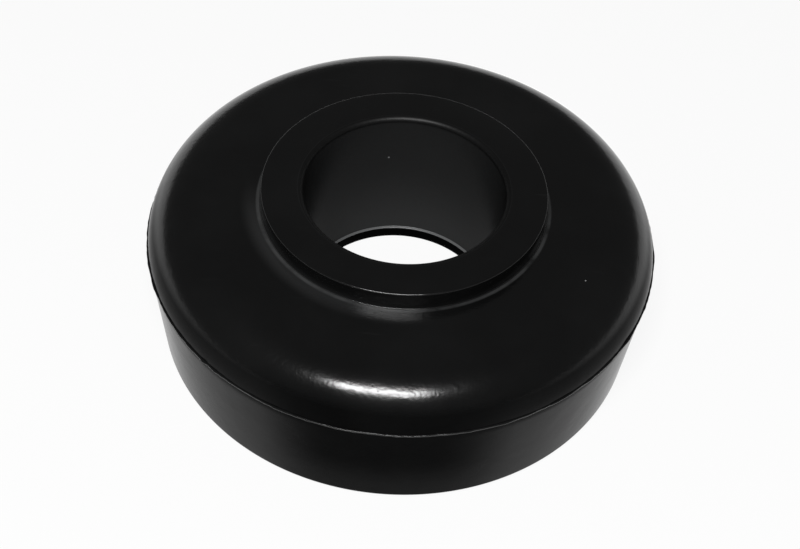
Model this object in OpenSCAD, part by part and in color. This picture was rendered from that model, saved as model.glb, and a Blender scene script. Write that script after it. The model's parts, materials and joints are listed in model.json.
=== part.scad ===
// Rubber cab mount cushion, compression moulded in one piece.
// It is a ring about +Z: the base rests on z = 0 and the pilot boss points up.

/* [Parting line] */
// Diameter at the parting line, where the two mould halves meet
parting_d = 99.6; // [80:0.2:140]
// How far the trimmed flash stands out along the parting line
flash_w = 0.5; // [0.1:0.05:1]
// Thickness of the trimmed flash
flash_t = 0.5; // [0.2:0.05:1]

/* [Upper half] */
// Height from the parting line to the flat top
dome_h = 8.2; // [5:0.1:30]
// Draft of the outer wall above the parting line, in degrees
dome_draft = 8.5; // [0.5:0.5:20]
// Radius that rolls the outer wall over into the flat top
shoulder_r = 9; // [1:0.1:10]

/* [Lower half] */
// Height from the base to the parting line
skirt_h = 22; // [8:0.1:60]
// Draft of the outer wall below the parting line, in degrees
skirt_draft = 4.2; // [0.5:0.1:15]
// Radius of the outer edge of the base
heel_r = 1.2; // [0.3:0.1:4]

/* [Pilot boss] */
// Diameter of the boss that locates in the frame hole
boss_d = 55.6; // [46:0.2:70]
// Height of the boss above the flat top
boss_h = 3.6; // [1.5:0.1:12]
// Radius of the boss's upper edge
boss_edge_r = 0.5; // [0.1:0.1:1]
// Radius of the hollow sweep from the flat top up to the side of the boss
boss_sweep_r = 7; // [3:0.1:12]
// How far that sweep runs out over the flat top
boss_sweep_w = 4.5; // [1:0.1:6]

/* [Bore] */
// Diameter of the through bore
bore_d = 39; // [20:1:50]
// Radius of the bore's upper mouth
mouth_r = 1.1; // [0.3:0.1:2]
// How far the lip at the foot of the bore stands inwards
lip_w = 1; // [0.6:0.1:4]
// Height of the lip above the base
lip_h = 2; // [1:0.1:6]
// Radius of the fillet between the bore wall and the lip
lip_fillet_r = 0.4; // [0.1:0.1:0.5]

/* [Moulded edges] */
// Radius left on the small moulded edges
edge_r = 0.3; // [0.1:0.05:0.45]

/* [Hidden] */
$fn = 180;

// Levels of the section
parting_z = skirt_h;
top_z = parting_z + dome_h;
boss_z = top_z + boss_h;

// Radii of the section. Both outer walls lean inwards, away from the parting line
parting_r = parting_d / 2;
base_r = parting_r - skirt_h * tan(skirt_draft);
dome_r = parting_r - dome_h * tan(dome_draft);
boss_r = boss_d / 2;
bore_r = bore_d / 2;
lip_r = bore_r - lip_w;

// Blends that give way to the wall that they run into
shoulder_wall = (dome_h - flash_t) / cos(dome_draft);
shoulder_land = dome_r - boss_r - boss_sweep_w;
shoulder_blend = min(shoulder_r, min(shoulder_wall, shoulder_land) * tan(45 + dome_draft / 2));
boss_blend_w = min(boss_sweep_w, 0.8 * boss_sweep_r, (dome_r - boss_r) / 2);
lip_blend = min(lip_fillet_r, lip_w - edge_r);

// How far a cutting shape reaches past the faces that it cuts
cut_margin = 1;
// How far a blend reaches past its sharp corner
corner_margin = 0.05;
// How far an arc on a sloping wall crosses it, where a level one just touches
slope_overrun = 0.002;

// The region between a sharp corner and an arc tangent to both of its edges.
// The edges leave the corner at the angles from and to.
module corner_blend(corner, from, to, r) {
    half = (to - from) / 2;
    middle = [cos(from + half), sin(from + half)];
    reach = r / tan(half);
    centre = corner + middle * r / sin(half);
    difference() {
        polygon([
            corner + reach * [cos(from), sin(from)],
            corner - corner_margin * middle,
            corner + reach * [cos(to), sin(to)],
            centre
        ]);
        translate(centre) circle(r = r);
    }
}

// The region under an arc that leaves the level edge of a square corner at w and climbs to the other edge
module hollow_sweep(w, r) {
    difference() {
        translate([-corner_margin, -corner_margin]) square([w + corner_margin, r / 2 + corner_margin]);
        translate([w, r]) circle(r = r);
    }
}

// Half section of the plain ring: both drafted walls, with the flash between them
module ring_blank() {
    half_t = flash_t / 2;
    polygon([
        [lip_r, 0],
        [base_r, 0],
        [parting_r - half_t * tan(skirt_draft), parting_z - half_t],
        [parting_r + flash_w, parting_z - half_t],
        [parting_r + flash_w, parting_z + half_t],
        [parting_r - half_t * tan(dome_draft), parting_z + half_t],
        [parting_r - (dome_h + boss_h) * tan(dome_draft), boss_z],
        [lip_r, boss_z]
    ]);
}

// Open space above the flat top, with the hollow sweep at the foot of the boss
module boss_surround() {
    difference() {
        translate([boss_r, top_z]) square([dome_r - boss_r + cut_margin, boss_h + cut_margin]);
        translate([boss_r, top_z]) hollow_sweep(boss_blend_w, boss_sweep_r);
    }
}

// Open space of the bore, from the lip up
module bore_space() {
    difference() {
        translate([0, lip_h]) square([bore_r, boss_z - lip_h + cut_margin]);
        corner_blend([bore_r, lip_h], 90, 180, lip_blend);
    }
}

// Half section as it leaves the mould, with every corner blended
module moulded_section() {
    difference() {
        ring_blank();
        boss_surround();
        bore_space();
        // Outside, from the base up
        translate([slope_overrun, 0]) corner_blend([base_r, 0], 90 - skirt_draft, 180, heel_r);
        translate([slope_overrun, 0])
            corner_blend([dome_r, top_z], 180, 270 + dome_draft, shoulder_blend);
        corner_blend([boss_r, boss_z], 180, 270, boss_edge_r);
        // Inside, from the mouth down
        corner_blend([bore_r, boss_z], 270, 360, mouth_r);
        corner_blend([lip_r, lip_h], 270, 360, edge_r);
        corner_blend([lip_r, 0], 0, 90, edge_r);
    }
}

module rubber_cushion() {
    color("#1b1c1c") rotate_extrude() moulded_section();
}

rubber_cushion();
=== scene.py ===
import json
import math

import bmesh
import bpy
from mathutils import Matrix, Vector, noise


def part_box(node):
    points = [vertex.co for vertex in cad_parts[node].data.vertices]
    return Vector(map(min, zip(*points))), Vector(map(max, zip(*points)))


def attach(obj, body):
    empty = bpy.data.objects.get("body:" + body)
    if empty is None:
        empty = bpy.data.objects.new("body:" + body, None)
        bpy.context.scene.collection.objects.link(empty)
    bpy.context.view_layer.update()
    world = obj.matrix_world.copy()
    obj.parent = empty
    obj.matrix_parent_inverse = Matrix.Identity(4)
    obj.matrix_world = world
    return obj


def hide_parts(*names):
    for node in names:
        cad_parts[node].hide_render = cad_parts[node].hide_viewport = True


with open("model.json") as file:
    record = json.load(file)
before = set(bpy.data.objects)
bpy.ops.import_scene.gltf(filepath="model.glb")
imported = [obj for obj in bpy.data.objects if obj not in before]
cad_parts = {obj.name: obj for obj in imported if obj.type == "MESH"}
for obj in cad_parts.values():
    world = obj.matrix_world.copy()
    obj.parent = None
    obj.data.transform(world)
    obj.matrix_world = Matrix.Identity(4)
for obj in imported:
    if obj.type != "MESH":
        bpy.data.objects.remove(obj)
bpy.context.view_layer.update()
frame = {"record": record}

# Rubber cushion: one thick ring of black rubber, compression moulded in a two-part mould.
# The halves meet at the largest diameter, where a trimmed rim of flash is left, and both
# outer walls lean inwards from there so that the ring comes out of the mould.
MM = 0.001
scene = bpy.context.scene
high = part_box("rubber_cushion")[1]
mounts = {mount["name"]: mount for mount in frame["record"]["mounts"]}
flash_r = high[0] / MM
boss_z = high[2] / MM
top_z = mounts["top_seat"]["pos_m"][2] / MM
boss_r = mounts["pilot_boss"]["dims"]["r_mm"]
bore_r = mounts["sleeve_bore"]["dims"]["r_mm"]

# Sizes of the moulded section in millimetres, and its drafts
parting_z = 22.0
flash_w = 0.5
flash_t = 0.5
lip_w = 0.45
lip_z = 2.7
skirt_draft = math.radians(4.2)
dome_draft = math.radians(8.5)
boss_draft = math.radians(3.0)

# Radii that blend the corners of the section, from the bore's lower edge round to the lip
base_edge_blend = 0.3
heel_blend = 1.2
flash_blend = 0.22
shoulder_blend = 9.0
boss_foot_blend = 0.15
boss_edge_blend = 0.3
mouth_blend = 1.1
lip_foot_blend = 0.15
lip_edge_blend = 0.25

parting_r = flash_r - flash_w
flash_low = parting_z - flash_t / 2
flash_high = parting_z + flash_t / 2
base_r = parting_r - parting_z * math.tan(skirt_draft)
dome_r = parting_r - (top_z - parting_z) * math.tan(dome_draft)
boss_top_r = boss_r - (boss_z - top_z) * math.tan(boss_draft)
lip_r = bore_r - lip_w

# Corners of the half section, going round it: radius, height, blend radius and steps of the blend
section = [
    (lip_r, 0.0, base_edge_blend, 4),
    (base_r, 0.0, heel_blend, 8),
    (parting_r - flash_t / 2 * math.tan(skirt_draft), flash_low, 0.0, 0),
    (flash_r, flash_low, flash_blend, 5),
    (flash_r, flash_high, flash_blend, 5),
    (parting_r - flash_t / 2 * math.tan(dome_draft), flash_high, 0.0, 0),
    (dome_r, top_z, shoulder_blend, 28),
    (boss_r, top_z, boss_foot_blend, 4),
    (boss_top_r, boss_z, boss_edge_blend, 6),
    (bore_r, boss_z, mouth_blend, 10),
    (bore_r, lip_z, lip_foot_blend, 3),
    (lip_r, lip_z, lip_edge_blend, 5),
]

bm = bmesh.new()
points = [bm.verts.new((r, 0.0, z)) for r, z, blend, steps in section]
for start, end in zip(points, points[1:] + points[:1]):
    bm.edges.new((start, end))
for point, (r, z, blend, steps) in zip(points, section):
    if blend:
        one, two = [edge.other_vert(point).co - point.co for edge in point.link_edges]
        reach = blend / math.tan(one.angle(two) / 2)
        bmesh.ops.bevel(bm, geom=[point], offset=reach, offset_type="OFFSET", affect="VERTICES",
                        segments=steps, profile=0.5, material=-1)

# Edges over a length get that many cuts, so that the long faces shade evenly
for length, cuts in ((14.0, 8), (6.0, 5), (2.5, 2)):
    long_edges = [edge for edge in bm.edges if edge.calc_length() > length]
    bmesh.ops.subdivide_edges(bm, edges=long_edges, cuts=cuts)
spin_steps = 560
bmesh.ops.spin(bm, geom=bm.verts[:] + bm.edges[:], cent=(0, 0, 0), axis=(0, 0, 1),
               angle=2 * math.pi, steps=spin_steps, use_merge=True)
bmesh.ops.remove_doubles(bm, verts=bm.verts[:], dist=1e-4)
bmesh.ops.recalc_face_normals(bm, faces=bm.faces[:])

# The flash was trimmed by hand, so its rim is uneven, with a few short wisps left on it.
# A wisp has its turn round the ring in degrees, its share of the full width and its spread in radians
wisps = [(227.0, 1.0, 0.02), (230.5, 0.85, 0.015), (331.0, 0.8, 0.03)]
rim_start = parting_r + 0.05
least_share = 0.12
rim_squeeze = 0.7
rim_sway = 0.06
for vert in bm.verts:
    r = math.hypot(vert.co.x, vert.co.y)
    if r > rim_start:
        turn = math.atan2(vert.co.y, vert.co.x) % (2 * math.pi)
        around = Vector((math.cos(turn), math.sin(turn), 0.0))
        share = 0.5 + 0.3 * noise.noise(around * 9) + 0.22 * noise.noise(around * 41)
        for degrees, size, spread in wisps:
            share = max(share, size * math.exp(-(((turn - math.radians(degrees)) / spread) ** 2)))
        share = min(max(share, least_share), 1.0)
        rim_z = parting_z + rim_squeeze * (vert.co.z - parting_z) + rim_sway * noise.noise(around * 17)
        vert.co = around * (parting_r + (r - parting_r) * share)
        vert.co.z = rim_z

sharp_angle = math.radians(35)
for edge in bm.edges:
    edge.smooth = edge.calc_face_angle(0.0) < sharp_angle
bmesh.ops.scale(bm, vec=(MM, MM, MM), verts=bm.verts[:])
mesh = bpy.data.meshes.new("rubber_cushion_visual")
bm.to_mesh(mesh)
bm.free()
for face in mesh.polygons:
    face.use_smooth = True
cushion = bpy.data.objects.new("rubber_cushion_visual", mesh)
scene.collection.objects.link(cushion)
weighted = cushion.modifiers.new("flat faces stay flat", "WEIGHTED_NORMAL")
weighted.mode = "FACE_AREA"
weighted.weight = 80
weighted.keep_sharp = True


class Wire:
    """One output of a node tree. Arithmetic on it adds the math nodes."""

    def __init__(self, tree, socket=None):
        self.tree = tree
        self.socket = socket

    def add(self, kind, settings=None, inputs=None, output=0):
        node = self.tree.nodes.new(kind)
        for name, value in (settings or {}).items():
            setattr(node, name, value)
        for name, value in (inputs or {}).items():
            if isinstance(value, Wire):
                self.tree.links.new(value.socket, node.inputs[name])
            else:
                node.inputs[name].default_value = value
        return Wire(self.tree, node.outputs[output]) if len(node.outputs) else Wire(self.tree)

    def output(self, name):
        """Another output of the same node."""
        return Wire(self.tree, self.socket.node.outputs[name])

    def maths(self, operation, *values):
        return self.add("ShaderNodeMath", {"operation": operation}, dict(enumerate(values)))

    def __add__(self, other):
        return self.maths("ADD", self, other)

    def __radd__(self, other):
        return self.maths("ADD", other, self)

    def __sub__(self, other):
        return self.maths("SUBTRACT", self, other)

    def __rsub__(self, other):
        return self.maths("SUBTRACT", other, self)

    def __mul__(self, other):
        return self.maths("MULTIPLY", self, other)

    def __rmul__(self, other):
        return self.maths("MULTIPLY", other, self)

    def __truediv__(self, other):
        return self.maths("DIVIDE", self, other)

    def rise(self, start, end):
        """0 below start, 1 above end and a smooth step between them."""
        return self.add("ShaderNodeMapRange", {"interpolation_type": "SMOOTHSTEP"},
                        {"Value": self, "From Min": start, "From Max": end, "To Min": 0.0, "To Max": 1.0})

    def noise(self, scale, detail=2.0, roughness=0.5):
        return self.add("ShaderNodeTexNoise", None,
                        {"Vector": self, "Scale": scale, "Detail": detail, "Roughness": roughness})

    def near(self, point, inner, outer):
        """1 within the inner distance of a point, falling to 0 at the outer one, all in millimetres."""
        gap = self.add("ShaderNodeVectorMath", {"operation": "DISTANCE"},
                       {0: self, 1: [MM * value for value in point]}, output="Value")
        return 1.0 - gap.rise(inner * MM, outer * MM)


rubber = bpy.data.materials.new("moulded_rubber")
rubber.use_nodes = True
rubber.node_tree.nodes.clear()
place = Wire(rubber.node_tree).add("ShaderNodeTexCoord", output="Object")
split = place.add("ShaderNodeSeparateXYZ", None, {"Vector": place})
height = split.output("Z") / MM
plan = place.add("ShaderNodeVectorMath", {"operation": "MULTIPLY"}, {0: place, 1: (1.0, 1.0, 0.0)})
radius = place.add("ShaderNodeVectorMath", {"operation": "LENGTH"}, {0: plan}, output="Value") / MM

# Cloudy bloom, a fine grain from the mould steel and a soft waviness of the skin
cloud = place.noise(45.0, 4.0, 0.55)
blotch = place.noise(160.0, 3.0, 0.6)
grain = place.noise(1400.0, 3.0, 0.6)
waves = place.noise(240.0, 2.0, 0.5)
scuff_place = place.add("ShaderNodeMapping", None, {"Vector": place, "Scale": (90.0, 900.0, 260.0)})
scuffs = scuff_place.noise(1.0, 3.0, 0.6).rise(0.66, 0.78)
bloom = cloud.rise(0.35, 0.75)

# Inner regions of the skin: the bore, its worn mouth, and the edge and the face of the lip at its foot
inside = 1.0 - radius.rise(bore_r + 0.9, bore_r + 1.3)
mouth = inside * height.rise(boss_z - 1.4, boss_z - 0.9)
bore_wall = height.rise(lip_z + 0.05, lip_z + 0.15)
lip_edge = height.rise(lip_z - 0.22, lip_z - 0.15) * (1.0 - bore_wall)
lip_face = inside * (1.0 - height.rise(lip_z - 0.3, lip_z - 0.22))

# Outer regions: a painted glow and a painted highlight line at the foot of the boss, a dull film on the
# front of the walls, a dull band below the seam, the flash, the polished shoulder and a few small pits
front_left = (-0.643, -0.766, 0.0)
leftward = place.add("ShaderNodeVectorMath", {"operation": "DOT_PRODUCT"}, {0: place, 1: front_left},
                     output="Value") / MM
above_top = height.rise(top_z - 0.1, top_z - 0.05)
# Painted glow: a pale patch at the front left of the boss foot that stands in for light reflected in the
# hollow
painted_foot_glow = above_top * (1.0 - radius.rise(boss_r + 1.2, boss_r + 4.2))
painted_foot_glow = painted_foot_glow * leftward.rise(16.0, 27.0) * radius.rise(boss_r - 0.1, boss_r + 0.1)
# Painted highlight: a thin light line round the foot of the boss, broken up by noise
painted_foot_highlight = above_top * radius.rise(boss_r + 0.1, boss_r + 0.25)
painted_foot_highlight = painted_foot_highlight * (1.0 - radius.rise(boss_r + 0.6, boss_r + 1.0)) * blotch.rise(0.2, 0.6)
frontward = (0.0 - split.output("Y") / MM) / radius
film = frontward.rise(0.87, 0.985) * (0.6 + 0.4 * height.rise(2.0, 13.0))
seam_band = height.rise(parting_z - 2.5, parting_z - 0.8)
seam_band = seam_band * (1.0 - height.rise(parting_z - 0.3, parting_z))
flash_rim = radius.rise(parting_r + 0.02, parting_r + 0.06)
shoulder = height.rise(25.6, 27.4)
pits = place.near((-3.19, -44.86, 29.18), 0.1, 0.25)
pits = pits + place.near((-2.14, -45.61, 28.79), 0.08, 0.2)
pits = pits + place.near((8.62, -45.1, 28.62), 0.08, 0.2)
specks = place.near((-3.77, 19.13, 23.25), 0.12, 0.25)
specks = specks + place.near((34.62, -17.74, top_z), 0.1, 0.2)

# Tone of the rubber, from jet black up to the painted highlight on the lip edge
tone = 0.0025 + 0.0015 * bloom + 0.003 * scuffs * blotch + 0.012 * painted_foot_glow + 0.024 * painted_foot_highlight
# Painted light on the bore wall: lifted overall, and lighter towards its foot as a painted reflection of
# the floor below
painted_bore_light = bore_wall * (1.0 - mouth) * (0.011 + 0.008 * (1.0 - height.rise(4.0, 22.0)))
# The lip edge gets a painted highlight, a light line along it
tone = tone + inside * (0.09 * lip_edge + painted_bore_light)
# The face of the lip is darkened as painted shade, and the specks are real dust
tone = (tone + 0.2 * specks) * (1.0 - 0.7 * lip_face)
colour = place.add("ShaderNodeCombineColor", None, {0: tone, 1: tone * 1.02, 2: tone * 1.03})
rough = 0.17 + 0.04 * bloom + 0.04 * (blotch - 0.5) + 0.06 * scuffs + 0.14 * inside + 0.12 * mouth
ripple = place.add("ShaderNodeBump", None, {"Strength": 0.5, "Distance": 0.1 * MM, "Height": waves})
skin = place.add("ShaderNodeBump", None,
                 {"Strength": 0.5, "Distance": 0.06 * MM, "Height": grain, "Normal": ripple})


def rubber_finish(specular, roughness, normal):
    return place.add("ShaderNodeBsdfPrincipled", None,
                     {"Base Color": colour, "Roughness": roughness, "IOR": 1.5,
                      "Specular IOR Level": specular, "Normal": normal})


polished = rubber_finish(0.4, rough, skin)
dull = rubber_finish(0.003, rough + 0.1, skin)
worn = rubber_finish(0.045, rough, ripple)
outer_gloss = shoulder.maths("MAXIMUM", shoulder, flash_rim) * (1.0 - pits)
inner_gloss = lip_edge + 0.1 * bore_wall + 0.4 * mouth
gloss = (1.0 - inside) * outer_gloss + inside * inner_gloss
wear = (1.0 - inside) * (1.0 - film) * (1.0 - 0.7 * seam_band)
lower = place.add("ShaderNodeMixShader", None, {0: wear, 1: dull, 2: worn})
surface = place.add("ShaderNodeMixShader", None, {0: gloss, 1: lower, 2: polished})
place.add("ShaderNodeOutputMaterial", None, {"Surface": surface})
mesh.materials.append(rubber)

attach(cushion, "root")
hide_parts("rubber_cushion")

# Floor: a wide white table top that the cushion stands on, curved up into a low screen at its rim.
# It is matt laminate, and it shows white with a soft shadow under the cushion.
floor_r = 3.0
screen_h = 0.45
screen_blend = 0.3
floor_z = -0.1 * MM
floor_mesh = bpy.data.meshes.new("floor")
bm = bmesh.new()
centre = bm.verts.new((0.0, 0.0, floor_z))
rim = bm.verts.new((floor_r, 0.0, floor_z))
screen_top = bm.verts.new((floor_r, 0.0, floor_z + screen_h))
bm.edges.new((centre, rim))
bm.edges.new((rim, screen_top))
bmesh.ops.bevel(bm, geom=[rim], offset=screen_blend, offset_type="OFFSET", affect="VERTICES",
                segments=8, profile=0.5, material=-1)
bmesh.ops.spin(bm, geom=bm.verts[:] + bm.edges[:], cent=(0, 0, 0), axis=(0, 0, 1),
               angle=2 * math.pi, steps=96, use_merge=True)
bmesh.ops.remove_doubles(bm, verts=bm.verts[:], dist=1e-5)
bmesh.ops.recalc_face_normals(bm, faces=bm.faces[:])
bm.to_mesh(floor_mesh)
bm.free()
floor = bpy.data.objects.new("floor", floor_mesh)
scene.collection.objects.link(floor)

table = bpy.data.materials.new("white_table")
table.use_nodes = True
table.node_tree.nodes.clear()
wire = Wire(table.node_tree)
matt = wire.add("ShaderNodeBsdfDiffuse", None, {"Color": (0.8, 0.8, 0.8, 1.0)})
white = wire.add("ShaderNodeEmission", None, {"Color": (1.0, 1.0, 1.0, 1.0), "Strength": 1.0})
seen = wire.add("ShaderNodeLightPath", output="Is Camera Ray")
white_share = 0.85 * (seen + seen.output("Is Glossy Ray") + seen.output("Is Transmission Ray"))
table_top = wire.add("ShaderNodeMixShader", None, {0: white_share, 1: matt, 2: white})
wire.add("ShaderNodeOutputMaterial", None, {"Surface": table_top})
floor_mesh.materials.append(table)

# Studio light: one soft lamp overhead, a little towards the camera.
# The room beyond is dim, so that the smooth rubber mirrors a dark ceiling.
lamp_place = Vector((-0.05, -0.445, 0.74))
lamp_aim = Vector((0.0, 0.0, 0.02))
light = bpy.data.lights.new("overhead lamp", "AREA")
light.shape = "RECTANGLE"
light.size = 0.38
light.size_y = 0.15
light.energy = 8.2
lamp = bpy.data.objects.new("overhead lamp", light)
lamp.location = lamp_place
lamp.rotation_euler = (lamp_aim - lamp_place).to_track_quat("-Z", "Y").to_euler()
scene.collection.objects.link(lamp)
world = bpy.data.worlds.new("dim room")
world.use_nodes = True
room = world.node_tree.nodes["Background"]
room.inputs["Color"].default_value = (1.0, 1.0, 1.0, 1.0)
room.inputs["Strength"].default_value = 0.11
scene.world = world

# Camera: a short telephoto view from above the front, turned slightly about its own axis.
# It aims near a point halfway up the cushion.
aim = Vector((0.0, 0.0, 0.015))
distance = 0.275
elevation = math.radians(47.052)
yaw = math.radians(0.0557)
pitch = math.radians(-0.8975)
roll = math.radians(4.156)
image_width_px = 800
focal_length_px = 1359.63
sensor_width_mm = 36.0
position = aim + distance * Vector((0.0, -math.cos(elevation), math.sin(elevation)))
straight = (aim - position).normalized()
sideways = Vector((1.0, 0.0, 0.0))
upright = sideways.cross(straight)
ahead = (straight + math.tan(yaw) * sideways + math.tan(pitch) * upright).normalized()
across = ahead.cross(Vector((0.0, 0.0, 1.0))).normalized()
right = math.cos(roll) * across + math.sin(roll) * across.cross(ahead)
upward = right.cross(ahead)
lens = bpy.data.cameras.new("photo camera")
lens.sensor_width = sensor_width_mm
lens.lens = focal_length_px / image_width_px * sensor_width_mm
lens.clip_start = 0.01
camera = bpy.data.objects.new("photo camera", lens)
camera.matrix_world = Matrix.Translation(position) @ Matrix((right, upward, -ahead)).transposed().to_4x4()
scene.collection.objects.link(camera)
scene.camera = camera
scene.view_settings.view_transform = "Standard"
